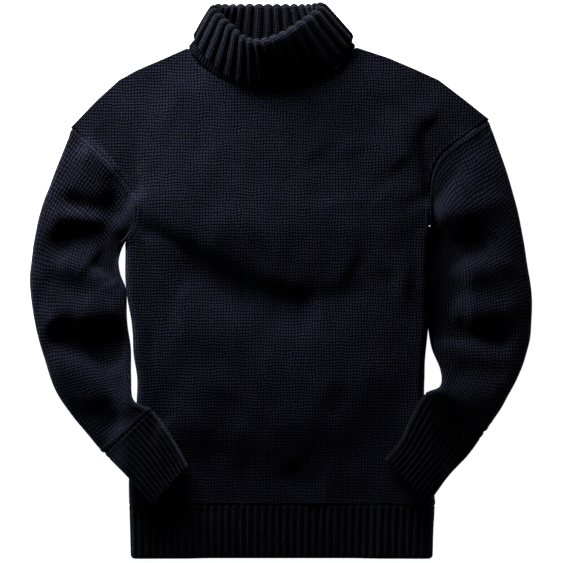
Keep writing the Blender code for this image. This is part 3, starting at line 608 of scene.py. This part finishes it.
def outer_depth(x, y, across):
    """Depth of the body's finished face: unevenness, and rolled edges at its armholes, neck and welt."""
    left, _, _ = near_route(LEFT_SEAM, x, y)
    right, _, _ = near_route(RIGHT_SEAM, x, y)
    neck, _, _ = near_route(NECK_SEAM, x, y)
    above = y > UNDERARM_BLEND[0]
    armhole = np.where(above, seam_relief(np.minimum(left, right)), 0.0)
    welt = WELT_SEAM_SHARE * seam_relief(y - WELT_TOP)
    return -(unevenness(x, y) + armhole + seam_relief(neck) + welt)


def at_depth(depth):
    return lambda x, y, across: np.full(x.shape, depth)


def welt_face(shares, depth_at):
    down = closing_up(WELT_TOP - WELT_BOTTOM, WELT_SPACING, True, True)
    ys = mix(WELT_TOP - SEAM_GAP / 2, WELT_BOTTOM, down)
    return wrapped_rows(ys, ys, shares, depth_at, WELT_SIDE_COLUMNS)


def welt_phase(y, across):
    """Place in the rib pattern across the welt."""
    left = body_value("left_x", y) + body_value("side", y) / 2
    right = body_value("right_x", y) - body_value("side", y) / 2
    return WELT_RIBS * (across - left) / (right - left)


def welt_knit(way):
    """Knit coordinates of a welt from the way across and along it."""
    x, y = way[..., 0], way[..., 1]
    return np.stack([WALES_A_RIB * welt_phase(y, x), y / RIB_COURSE], axis=-1)


def welt_relief(y):
    return WELT_SEAM_SHARE * seam_relief(WELT_TOP - y) + edge_roll(y - WELT_BOTTOM)


def sleeve_path(rows, seam, climb):
    """A sleeve's table made ready: its two edges by distance down its middle, its armhole and its side."""
    inner = np.array([row.inner for row in rows])
    outer = np.array([row.outer for row in rows])
    lengths = chord_lengths((inner + outer) / 2)
    return SleevePath(inner, outer, lengths, seam, climb, np.sign(outer[0, 0]))


def sleeve_edges(path, distance):
    return smooth_table(path.lengths, path.inner, distance), smooth_table(path.lengths, path.outer, distance)


def sleeve_place(path, distance, share):
    """Plan position on a sleeve by distance from the armhole and share of the way to its outer edge."""
    inner, outer = sleeve_edges(path, distance)
    across = share[..., None]
    ahead = route_at(path.seam, share + SEAM_PROBE) - route_at(path.seam, share - SEAM_PROBE)
    ahead /= np.linalg.norm(ahead, axis=-1, keepdims=True)
    outward = path.side * np.stack([ahead[..., 1], -ahead[..., 0]], axis=-1)
    start = route_at(path.seam, share) + (SEAM_GAP + SEAM_SPREAD * distance[..., None]) * outward
    from_straight = start - mix(path.inner[0], path.outer[0], across)
    fade = 1 - ease(distance, 0, 2 * SETTLE_LENGTH)
    return mix(inner, outer, across) + from_straight * fade[..., None]


def sleeve_heights(path, distance, share, x, y):
    """(underside, top) of a sleeve over points of the plan, where it lies on the floor or on the body."""
    edge = np.where(path.side < 0, body_value("left_x", y), body_value("right_x", y))
    past_edge = path.side * (x - edge)
    inside_x = edge + path.side * np.minimum(past_edge, -body_value("side", y) / 2)
    lying = (body_top(inside_x, y) + LYING_GAP) * (1 - ease(past_edge, 0, RAMP_WIDTH))
    station = np.interp(distance, path.lengths, np.arange(len(path.lengths)))
    seam_x, seam_y = np.moveaxis(route_at(path.seam, share), -1, 0)
    settled = ease(distance, 0, SETTLE_LENGTH)
    rest = mix(body_top(seam_x, seam_y) - STACK, ease(station, *path.climb) * lying, settled)
    on_cuff = ease(distance - path.lengths[CUFF_FIRST_ROW], *CUFF_BLEND)
    roundness = np.sqrt(np.clip(4 * share * (1 - share), 0, 1))
    crown = SLEEVE_CROWN * settled * mix(1.0, CUFF_CROWN_SHARE, on_cuff) * roundness
    from_edge = np.clip(np.minimum(share, 1 - share) / EDGE_CALM_SHARE, 0, 1)
    lift = folds_height(x, y) * mix(1.0, from_edge, settled) * (1 - on_cuff)
    thickness = mix(STACK, LOOSE_STACK, settled)
    top = soft_floor(rest + thickness + crown + lift, rest + THINNEST)
    return np.maximum(rest, top - LOOSE_STACK), top


def tube_faces(path, distances, top_columns, under_columns, depth_at):
    """Outer and inner face of a sleeve or cuff in rings, the share of its width gone round, and the width."""
    inner_end, outer_end = sleeve_edges(path, distances)
    across = outer_end - inner_end
    width = np.linalg.norm(across, axis=1)
    width[distances <= 0] = chord_lengths(path.seam)[-1]
    wide = width[:, None]
    insets = np.array(EDGE_INSETS) / wide

    def shares(columns):
        middle = mix(insets[:, -1:], 1 - insets[:, -1:], np.linspace(0, 1, columns + 1)[1:-1])
        return np.hstack([insets, middle, 1 - insets[:, ::-1]])

    over, under = shares(top_columns), shares(under_columns)[:, 1:-1][:, ::-1]
    share = np.hstack([over, under])
    upward = np.where(np.arange(share.shape[1]) < over.shape[1], 1.0, -1.0)
    at = np.broadcast_to(distances[:, None], share.shape)
    plan = sleeve_place(path, at.ravel(), share.ravel()).reshape(*share.shape, 2)
    x, y = plan[..., 0], plan[..., 1]
    low, high = (value.reshape(share.shape) for value in sleeve_heights(
        path, at.ravel(), share.ravel(), x.ravel(), y.ravel()
    ))
    half, middle = (high - low) / 2, (high + low) / 2
    cosine = np.clip(1 - np.minimum(share, 1 - share) * wide / half, 0, 1)
    sine = np.sqrt(1 - cosine**2)
    inward = np.where(share < 0.5, 1.0, -1.0)[..., None] * (across / wide)[:, None, :]
    unrolled = np.where(upward > 0, share, 2 - share)
    cut = depth_at(x, y, unrolled, at)
    outside = np.dstack([plan + (cut * cosine)[..., None] * inward, middle + upward * (half - cut) * sine])
    inside = np.dstack([plan + WALL * cosine[..., None] * inward, middle + upward * (half - WALL) * sine])
    return outside, inside, np.hstack([unrolled, 2 + unrolled[:, :1]]), wide


def collar_profile(seam, ridge, free_edge, roll, lean, outward):
    """Middle line of the collar wall at one station, from the seam up the stand, over and down."""
    up = ridge - (seam + free_edge) / 2
    up /= np.linalg.norm(up)
    level = outward - up * (outward @ up)
    level /= np.linalg.norm(level)
    raised = np.array([0.0, 0.0, 1.0])
    raised -= up * up[2]
    raised /= np.linalg.norm(raised)
    off = np.cos(lean) * level + np.sin(lean) * raised
    centre = ridge - roll * up
    stand_top, turn_top = centre - roll * off, centre + roll * off
    angles = np.linspace(0, np.pi, ROLL_STEPS + 1)[1:-1, None]
    rolled = centre - roll * np.cos(angles) * off + roll * np.sin(angles) * up

    def swept(first, last, first_way, last_way, steps):
        t = np.linspace(0, 1, steps + 1)[:, None]
        reach = np.linalg.norm(last - first)
        bend = t * (1 - t) ** 2 * first_way + t * t * (t - 1) * last_way
        return mix(first, last, t * t * (3 - 2 * t)) + reach * bend

    stand = swept(seam, stand_top, (stand_top - seam) / np.linalg.norm(stand_top - seam), up, STAND_STEPS)
    turned_way = (free_edge - turn_top) / np.linalg.norm(free_edge - turn_top)
    turned = swept(turn_top, free_edge, -up, turned_way, TURNOVER_STEPS)
    return np.vstack([stand, rolled, turned])


def round_neck(column, at):
    """A column of the collar's table at distances round the neck, going round without a break."""
    seam_loop = [row.seam for row in COLLAR_ROWS]
    around = chord_lengths(seam_loop + seam_loop[:1])
    knots, period = around[:-1], around[-1]
    table = np.array([getattr(row, column) for row in COLLAR_ROWS], float)
    n = STATIONS_ROUND_JOIN
    long_knots = np.concatenate([knots[-n:] - period, knots, knots[:n] + period])
    return smooth_table(long_knots, np.concatenate([table[-n:], table, table[:n]]), at * period)


def collar_faces():
    """Outer and hidden face of the collar wall, and its knit coordinates."""
    columns = COLUMNS_A_RIB * COLLAR_RIBS
    at = np.arange(columns) / columns
    seam, ridge, free_edge = (round_neck(column, at) for column in ("seam", "ridge", "free_edge"))
    roll, lean = round_neck("roll", at), np.radians(round_neck("lean", at))
    outward = np.zeros((columns, 3))
    outward[:, 0] = np.where(seam[:, 0] < NECK_MIDDLE_X, -1.0, 1.0)
    stations = zip(seam, ridge, free_edge, roll, lean, outward)
    lines = np.array([collar_profile(*station) for station in stations])
    lines[:, :, 2] = np.maximum(lines[:, :, 2], WALL / 2)
    around = np.roll(lines, -1, axis=0) - np.roll(lines, 1, axis=0)
    normal = np.cross(around, np.gradient(lines, axis=1))
    normal /= np.linalg.norm(normal, axis=2, keepdims=True)
    way = np.concatenate([
        np.zeros((columns, 1)), np.cumsum(np.linalg.norm(np.diff(lines, axis=1), axis=2), axis=1)
    ], axis=1)
    to_free_edge = way[:, -1:] - way
    groove = COLLAR_RIB_SHARE * rib_groove(at * COLLAR_RIBS)[:, None] - COLLAR_RIB_PROUD
    on_floor = (lines[:, :, 2] < PLAIN_BELOW_HEIGHT) & (normal[:, :, 2] < PLAIN_BELOW_SLOPE)
    cut_in = np.where(on_floor, 0.0, groove - seam_relief(way) - edge_roll(to_free_edge))
    face = lines + normal * (WALL / 2 - cut_in)[..., None]
    face[:, :, 2] = np.maximum(face[:, :, 2], 0.0)
    hidden = lines - normal * WALL / 2
    across = np.arange(columns + 1) / columns * COLLAR_RIBS * WALES_A_RIB
    along = np.concatenate([way, way[:1]]) / RIB_COURSE
    knit = np.stack([np.broadcast_to(across[:, None], along.shape), along], axis=-1)
    return face.transpose(1, 0, 2), hidden.transpose(1, 0, 2), knit.transpose(1, 0, 2)


def free_edges(corners):
    """Directed edges of the cells that no other cell shares."""
    edges = np.concatenate([corners[:, [k, (k + 1) % 4]] for k in range(4)])
    size = corners.max() + 1
    is_free = ~np.isin(edges[:, 0] * size + edges[:, 1], edges[:, 1] * size + edges[:, 0])
    return edges[is_free], np.tile(np.arange(len(corners)), 4)[is_free]


def rim_middle(outside, inside, corners, edges, cell_of_edge):
    """Points halfway through the wall along its free edges, pushed outwards so that the rim is round."""
    centre = outside[corners[cell_of_edge]].mean(axis=1)
    first, last = outside[edges[:, 0]], outside[edges[:, 1]]
    run = last - first
    away = (first + last) / 2 - centre
    away -= run * ((away * run).sum(axis=1) / np.maximum((run**2).sum(axis=1), TINY))[:, None]
    away /= np.maximum(np.linalg.norm(away, axis=1, keepdims=True), TINY)
    total = np.zeros_like(outside)
    np.add.at(total, edges[:, 0], away)
    np.add.at(total, edges[:, 1], away)
    total /= np.maximum(np.linalg.norm(total, axis=1, keepdims=True), TINY)
    return (outside + inside) / 2 + RIM_PUSH * total


def add_object(name, data):
    made = bpy.data.objects.new(name, data)
    bpy.context.scene.collection.objects.link(made)
    return made


def cell_corners(cells, columns, closed):
    """Points at the corners of each cell of cloth, by place in a grid with so many columns."""
    i, j = np.nonzero(cells)
    k = (j + 1) % columns if closed else j + 1
    low, high = i * columns, (i + 1) * columns
    return np.stack([low + j, low + k, high + k, high + j], axis=1)


def outward_faces(points, faces, face_knit):
    """The faces turned so that they look out of the wall."""
    a, b, c, d = (points[faces[:, corner]] - points.mean(axis=0) for corner in range(4))
    if (np.cross(a, b) * c).sum() + (np.cross(a, c) * d).sum() < 0:
        return faces[:, ::-1], face_knit[:, ::-1]
    return faces, face_knit


def knitted_piece(name, outside, inside, knit, material, cells=None, closed=False):
    """A mesh object between two matching grids of points, with a rounded rim along every free edge."""
    rows, columns = outside.shape[:2]
    if cells is None:
        cells = np.ones((rows - 1, columns if closed else columns - 1), bool)
    corners = cell_corners(cells, columns, closed)
    on_knit = cell_corners(cells, knit.shape[1], False)
    outside, inside, knit = outside.reshape(-1, 3), inside.reshape(-1, 3), knit.reshape(-1, 2)
    edges, cell_of_edge = free_edges(corners)
    middle = rim_middle(outside, inside, corners, edges, cell_of_edge)
    count = rows * columns
    p, q = edges[:, 0], edges[:, 1]
    rims = [
        np.stack([q, p, p + 2 * count, q + 2 * count], axis=1),
        np.stack([q + 2 * count, p + 2 * count, p + count, q + count], axis=1),
    ]
    point_knit = np.zeros((count, 2))
    point_knit[corners.ravel()] = knit[on_knit.ravel()]
    rim_knit = [point_knit[rim % count] for rim in rims]
    faces = np.concatenate([corners, corners[:, ::-1] + count, *rims])
    face_knit = np.concatenate([knit[on_knit], knit[on_knit[:, ::-1]], *rim_knit])
    points = np.concatenate([outside, inside, middle])
    points[:, 2] = np.maximum(points[:, 2], 0.0)
    used, faces = np.unique(faces, return_inverse=True)
    points, faces = points[used], faces.reshape(-1, 4)
    faces, face_knit = outward_faces(points, faces, face_knit)
    mesh = bpy.data.meshes.new(name)
    mesh.from_pydata((points * MM).tolist(), [], faces.tolist())
    mesh.uv_layers.new(name=KNIT_MAP).data.foreach_set("uv", face_knit.ravel().tolist())
    mesh.materials.append(material)
    mesh.shade_smooth()
    return add_object(name, mesh)


def set_inputs(node, values):
    for name, value in values.items():
        node.inputs[name].default_value = value


def new_material(name):
    """A material with its node tree and its surface shader."""
    material = bpy.data.materials.new(name)
    material.use_nodes = True
    return material, material.node_tree, material.node_tree.nodes["Principled BSDF"]


def math_node(tree, operation, first, second=None):
    """The output of a math node whose inputs are numbers or other outputs."""
    node = tree.nodes.new("ShaderNodeMath")
    node.operation = operation
    for socket, value in zip(node.inputs, (first, second)):
        if isinstance(value, (int, float)):
            socket.default_value = value
        elif value is not None:
            tree.links.new(value, socket)
    return node.outputs[0]


def noise_node(tree, where, noise):
    node = tree.nodes.new("ShaderNodeTexNoise")
    set_inputs(node, {"Scale": noise.scale, "Detail": noise.detail, "Roughness": noise.roughness})
    tree.links.new(where, node.inputs["Vector"])
    return node.outputs["Fac"]


def range_node(tree, value, span, result):
    """The value moved from one span of numbers to another."""
    node = tree.nodes.new("ShaderNodeMapRange")
    set_inputs(node, dict(zip(("From Min", "From Max", "To Min", "To Max"), (*span, *result))))
    tree.links.new(value, node.inputs["Value"])
    return node.outputs["Result"]


def colour_mix(tree, share, first, second):
    """The output of a mix of two colours. Its colour sockets share names with others, so go by place."""
    node = tree.nodes.new("ShaderNodeMix")
    node.data_type = "RGBA"
    node.inputs[6].default_value = first
    node.inputs[7].default_value = second
    tree.links.new(share, node.inputs[0])
    return node.outputs[2]


def stitch_height(tree, across, along):
    """Height of stocking stitch, 0 to 1, from places counted in wales and courses. Its legs make a V."""
    off_middle = math_node(tree, "SUBTRACT", math_node(tree, "FRACT", across), 0.5)
    from_middle = math_node(tree, "MULTIPLY", math_node(tree, "ABSOLUTE", off_middle), 2.0)
    wale = math_node(tree, "SUBTRACT", 1.0, math_node(tree, "POWER", from_middle, WALE_ROUNDNESS))
    near_middle = math_node(tree, "SUBTRACT", 1.0, from_middle)
    notch = math_node(tree, "POWER", near_middle, NOTCH_SHARPNESS)
    notch = math_node(tree, "MULTIPLY", notch, NOTCH_DEPTH)
    slanted = math_node(tree, "SUBTRACT", along, math_node(tree, "MULTIPLY", from_middle, STITCH_SLANT))
    wave = math_node(tree, "COSINE", math_node(tree, "MULTIPLY", slanted, 2 * np.pi))
    stitch = math_node(tree, "ADD", math_node(tree, "MULTIPLY", wave, COURSE_WAVE), 1 - COURSE_WAVE)
    return math_node(tree, "MULTIPLY", math_node(tree, "SUBTRACT", wale, notch), stitch)


def wool_tone_with_painted_shade(tree, stitches, place, wale_count, is_ribbed):
    """How pale the wool is, 0 to 1: painted shade between stitches and between ribs, mottled, with some pale
    hairs.
    """
    mottle = range_node(tree, noise_node(tree, place, MOTTLE_NOISE), MOST_NOISE, MOTTLING)
    hairs = range_node(tree, noise_node(tree, place, HAIR_NOISE), HIGHEST_NOISE, HAIR_PALENESS)
    # Painted shade: the wool is darker between stitches, where they shade each other
    tone_with_painted_shade = math_node(tree, "POWER", stitches, STITCH_PAINTED_SHADE)
    tone_with_painted_shade = math_node(tree, "ADD", math_node(tree, "MULTIPLY", tone_with_painted_shade, mottle), hairs)
    if not is_ribbed:
        return tone_with_painted_shade
    # Painted shade: the wool is darker in the grooves between ribs
    turn = math_node(tree, "MULTIPLY", wale_count, np.pi / WALES_A_RIB)
    crest = math_node(tree, "ABSOLUTE", math_node(tree, "SINE", turn))
    return math_node(tree, "MULTIPLY", tone_with_painted_shade, math_node(tree, "POWER", crest, RIB_PAINTED_SHADE))


def bump_node(tree, height, distance, normal=None):
    node = tree.nodes.new("ShaderNodeBump")
    set_inputs(node, {"Distance": distance})
    tree.links.new(height, node.inputs["Height"])
    if normal is not None:
        tree.links.new(normal, node.inputs["Normal"])
    return node.outputs["Normal"]


def wool(name, tip, is_ribbed):
    """Knitted wool: stitches and fibres in relief, with painted shade between the stitches, and a soft bloom
    of hairs.
    """
    material, tree, shader = new_material(name)
    place = tree.nodes.new("ShaderNodeTexCoord").outputs["Object"]
    knit = tree.nodes.new("ShaderNodeUVMap")
    knit.uv_map = KNIT_MAP
    split = tree.nodes.new("ShaderNodeSeparateXYZ")
    tree.links.new(knit.outputs["UV"], split.inputs["Vector"])
    reach = RIB_STRAY if is_ribbed else PLAIN_STRAY
    stray = range_node(tree, noise_node(tree, place, STRAY_NOISE), MOST_NOISE, (-reach, reach))
    across = math_node(tree, "ADD", split.outputs["X"], stray)
    along = math_node(tree, "ADD", split.outputs["Y"], stray)
    stitches = stitch_height(tree, across, along)
    fibres = noise_node(tree, place, FIBRE_NOISE)
    tone_with_painted_shade = wool_tone_with_painted_shade(tree, stitches, place, split.outputs["X"], is_ribbed)
    fuzz = bump_node(tree, fibres, FIBRE_RELIEF)
    # The colour runs from the painted shade between stitches up to the wool's own colour on them
    tree.links.new(colour_mix(tree, tone_with_painted_shade, PAINTED_SHADE_NAVY, tip), shader.inputs["Base Color"])
    tree.links.new(range_node(tree, fibres, MOST_NOISE, ROUGHNESS), shader.inputs["Roughness"])
    tree.links.new(bump_node(tree, stitches, STITCH_RELIEF, fuzz), shader.inputs["Normal"])
    set_inputs(shader, {
        "Specular IOR Level": SPECULAR,
        "Sheen Weight": SHEEN,
        "Sheen Roughness": SHEEN_ROUGHNESS,
        "Sheen Tint": SHEEN_TINT,
    })
    return material


def fit(piece, node):
    """Attach a piece to the root body and hide the solid that it stands in for."""
    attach(piece, "root")
    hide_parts(node)


def body_panels(plain):
    front, knit, cells = body_face(SPACING, outer_depth, False)
    front_inside, _, _ = body_face(SPACING, at_depth(WALL), False)
    fit(
        knitted_piece("front_knit", front, front_inside, knit, plain, cells),
        "front_body",
    )
    back, knit, cells = body_face(BACK_SPACING, at_depth(WALL + LAYER_GAP), True)
    back_inside, _, _ = body_face(BACK_SPACING, at_depth(STACK), True)
    fit(
        knitted_piece("back_knit", back, back_inside, knit, plain, cells),
        "back_body",
    )


def welts(ribbed):
    shares = np.linspace(0, 1, COLUMNS_A_RIB * WELT_RIBS + 1)

    def front_depth(x, y, across):
        return rib_groove(welt_phase(y, across)) - welt_relief(y)

    def back_depth(x, y, across):
        return STACK + LAYER_GAP - rib_groove(welt_phase(y, across)) * BACK_RIB_SHARE

    front, way = welt_face(shares, front_depth)
    front_inside, _ = welt_face(shares, at_depth(WALL))
    fit(
        knitted_piece("hem_front_knit", front, front_inside, welt_knit(way), ribbed),
        "hem_front",
    )
    back, way = welt_face(shares, at_depth(WALL + 2 * LAYER_GAP))
    back_inside, _ = welt_face(shares, back_depth)
    fit(
        knitted_piece("hem_back_knit", back, back_inside, welt_knit(way), ribbed),
        "hem_back",
    )


def tube_knit(wales, down, course):
    """Knit coordinates of a tube from its wales and the way down it."""
    return np.stack([wales, np.broadcast_to(down[:, None] / course, wales.shape)], axis=-1)


def sleeve(side, path, plain):
    cuff_start = path.lengths[CUFF_FIRST_ROW]

    def depth(x, y, unrolled, at):
        from_underarm = np.minimum(unrolled, 2 - unrolled)
        armhole = seam_relief(at) * ease(from_underarm, 0, UNDERARM_CALM_SHARE)
        return -(unevenness(x, y) + armhole + seam_relief(cuff_start - at))

    down = closing_up(cuff_start, SPACING, True, True) * (cuff_start - SEAM_GAP)
    columns = SLEEVE_TOP_COLUMNS, SLEEVE_UNDER_COLUMNS
    outside, inside, unrolled, width = tube_faces(path, down, *columns, depth)
    knit = tube_knit((unrolled - 0.5) * width / PLAIN_WALE, down, PLAIN_COURSE)
    fit(
        knitted_piece(f"sleeve_{side}_knit", outside, inside, knit, plain, closed=True),
        f"sleeve_{side}",
    )


def cuff(side, path, ribbed):
    start, end = path.lengths[CUFF_FIRST_ROW], path.lengths[-1]

    def phase(unrolled):
        first, last = CUFF_RIB_SPAN
        return CUFF_RIBS * (unrolled - first) / (last - first)

    def depth(x, y, unrolled, at):
        groove = CUFF_RIB_SHARE * rib_groove(phase(unrolled))
        return groove - seam_relief(at - start) - edge_roll(end - at)

    down = mix(start, end, closing_up(end - start, CUFF_SPACING, True, True))
    outside, inside, unrolled, _ = tube_faces(path, down, CUFF_COLUMNS, CUFF_COLUMNS, depth)
    knit = tube_knit(WALES_A_RIB * phase(unrolled), down, RIB_COURSE)
    fit(
        knitted_piece(f"cuff_{side}_knit", outside, inside, knit, ribbed, closed=True),
        f"cuff_{side}",
    )


def collar(ribbed):
    face, hidden, knit = collar_faces()
    fit(
        knitted_piece("collar_knit", face, hidden, knit, ribbed, closed=True),
        "collar",
    )


def camera():
    data = bpy.data.cameras.new("camera")
    data.sensor_width = SENSOR_WIDTH
    data.lens = SENSOR_WIDTH * CAMERA_HEIGHT / SEEN_WIDTH
    data.clip_end = CAMERA_REACH
    made = add_object("camera", data)
    made.location = (CAMERA_X, CAMERA_Y, SEEN_HEIGHT + CAMERA_HEIGHT)
    bpy.context.scene.camera = made


def area_light(light):
    data = bpy.data.lights.new(light.name, "AREA")
    data.shape = "RECTANGLE"
    data.size, data.size_y = light.width, light.height
    data.energy = light.power
    data.color = light.colour
    lamp = add_object(light.name, data)
    lamp.location = light.place
    lamp.rotation_euler = (Vector(LIT_PLACE) - lamp.location).to_track_quat("-Z", "Y").to_euler()


def floor():
    mesh = bpy.data.meshes.new("floor")
    corners = ((-1, -1), (1, -1), (1, 1), (-1, 1))
    places = [(FLOOR_REACH * x, FLOOR_REACH * y, -FLOOR_DROP) for x, y in corners]
    mesh.from_pydata(places, [], [(0, 1, 2, 3)])
    paper, _, shader = new_material("floor_paper")
    set_inputs(shader, {
        "Base Color": PAPER,
        "Roughness": PAPER_ROUGHNESS,
        "Emission Color": WHITE,
        "Emission Strength": PAPER_GLOW,
    })
    mesh.materials.append(paper)
    add_object("floor", mesh)


def studio():
    floor()
    world = bpy.data.worlds.new("studio")
    world.use_nodes = True
    set_inputs(world.node_tree.nodes["Background"], {"Color": SKY, "Strength": SKY_STRENGTH})
    bpy.context.scene.world = world
    for light in LIGHTS:
        area_light(light)
    bpy.context.scene.view_settings.view_transform = "Standard"


def main():
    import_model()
    camera()
    plain = wool("plain_knit", NAVY, False)
    # The welt and cuffs get a darker copy of the ribbed wool as painted shade; the collar keeps the lit
    # colour
    ribbed = wool("ribbed_knit", NAVY_WELT_PAINTED_SHADE, True)
    body_panels(plain)
    welts(ribbed)
    right_sleeve = sleeve_path(SLEEVE_LEFT_OF_PICTURE, LEFT_SEAM, CLIMB_LEFT_OF_PICTURE)
    left_sleeve = sleeve_path(SLEEVE_RIGHT_OF_PICTURE, RIGHT_SEAM, CLIMB_RIGHT_OF_PICTURE)
    sleeve("right", right_sleeve, plain)
    cuff("right", right_sleeve, ribbed)
    sleeve("left", left_sleeve, plain)
    cuff("left", left_sleeve, ribbed)
    collar(wool("ribbed_knit_collar", NAVY_COLLAR, True))
    studio()


main()
